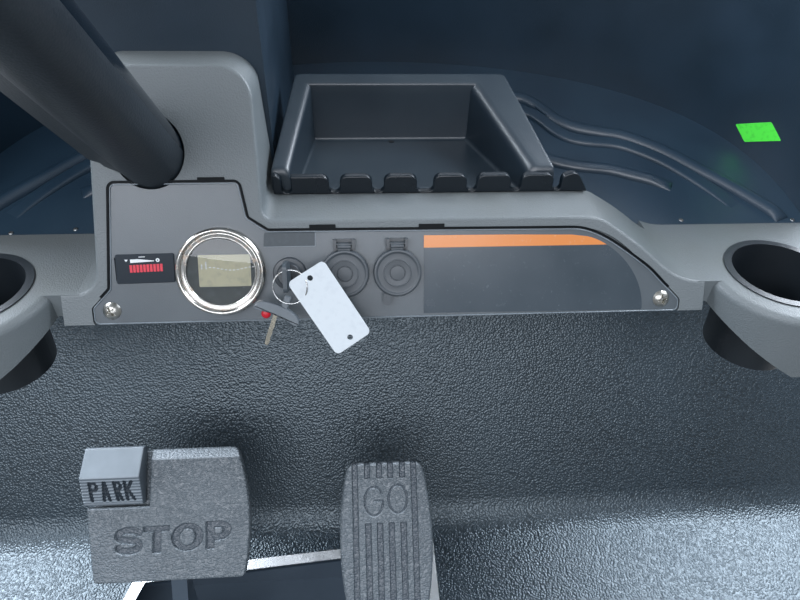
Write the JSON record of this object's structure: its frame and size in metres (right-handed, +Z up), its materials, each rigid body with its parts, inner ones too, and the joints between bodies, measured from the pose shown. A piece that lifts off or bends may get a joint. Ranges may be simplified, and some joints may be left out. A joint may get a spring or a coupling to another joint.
{
  "type": "golf cart cockpit front section",
  "caption": "Front cockpit section of a golf cart: dashboard with cup holders and tray, steering wheel and column, pedals, cowl liner and matted floor.",
  "frame": {"origin": "centre of the chassis bolt pattern, on the underside of the floor pan", "axes": "+Z up, +Y forward in the direction of travel, +X to the driver's right"},
  "size_m": [1.184, 0.8877, 1.0328],
  "materials": {
    "arm_paint": "black paint",
    "basket_black": "moulded",
    "cap_rubber": "soft matte",
    "chrome": "polished",
    "clear": "clear",
    "column_gloss": "gloss",
    "comb_black": "moulded",
    "dash_plastic": "moulded, fine grain",
    "key_grip": "translucent grey",
    "key_metal": "nickel",
    "lamp_red": "clear red",
    "liner_plastic": "moulded satin",
    "mat_rubber": "pebble grain",
    "meter_black": "gloss",
    "pan_paint": "black paint",
    "panel_plastic": "moulded, smooth satin",
    "pedal_rubber": "grained",
    "shaft_steel": "turned",
    "socket_black": "moulded",
    "switch_metal": "dark satin",
    "tag_white": "blank card",
    "tray_plastic": "moulded satin",
    "trim_light": "satin",
    "wheel_grip": "soft grip",
    "wheel_plastic": "satin"
  },
  "bodies": {
    "cockpit": {"battery_meter": "meter_black", "centre_tray": "tray_plastic", "column_cover_lower": "column_gloss", "column_cover_upper": "column_gloss", "column_flange": "cap_rubber", "column_tube": "arm_paint", "cowl_liner": "liner_plastic", "cup_basket_left": "basket_black", "cup_basket_right": "basket_black", "dash_body": "dash_plastic", "floor_mat": "mat_rubber", "floor_pan": "pan_paint", "gauge_bezel": "chrome", "gauge_case": "meter_black", "gauge_lens": "clear", "indicator_lamp": "lamp_red", "instrument_panel": "panel_plastic", "key": "key_metal", "key_ring": "key_metal", "key_switch": "switch_metal", "key_tag": "tag_white", "pedal_box": "pan_paint", "pedal_shaft": "shaft_steel", "slot_trim": "trim_light", "socket_body_1": "socket_black", "socket_body_2": "socket_black", "socket_cap_1": "cap_rubber", "spare_key": "key_grip", "tee_comb": "comb_black"},
    "steering": {"steering_shaft": "shaft_steel", "wheel_rim": "wheel_grip", "wheel_spokes": "wheel_plastic", "hub_cap": "wheel_plastic"},
    "brake": {"brake_arm": "arm_paint", "brake_pad": "pedal_rubber", "park_pad": "pedal_rubber"},
    "accelerator": {"accelerator_arm": "arm_paint", "accelerator_pad": "pedal_rubber"},
    "socket_cap": {"socket_cap_2": "cap_rubber"}
  },
  "joints": [
    {"name": "steering_turn", "type": "hinge", "parent": "cockpit", "child": "steering", "pos_m": [-0.1874, 0.31404, 0.51543], "axis": [0, -0.6833, 0.7302], "range_deg": [-450, 450]},
    {"name": "brake_press", "type": "hinge", "parent": "cockpit", "child": "brake", "pos_m": [0, 0.168, -0.03], "axis": [-1, 0, 0], "range_deg": [0, 20], "stiffness_Nm_per_rad": 20, "springref_deg": -28.65},
    {"name": "accelerator_press", "type": "hinge", "parent": "cockpit", "child": "accelerator", "pos_m": [0, 0.168, -0.03], "axis": [-1, 0, 0], "range_deg": [0, 18], "stiffness_Nm_per_rad": 12, "springref_deg": -28.65},
    {"name": "socket_cap_flip", "type": "hinge", "parent": "cockpit", "child": "socket_cap", "pos_m": [0.003, 0.27404, 0.453], "axis": [-1, 0, 0], "range_deg": [0, 95]}
  ]
}
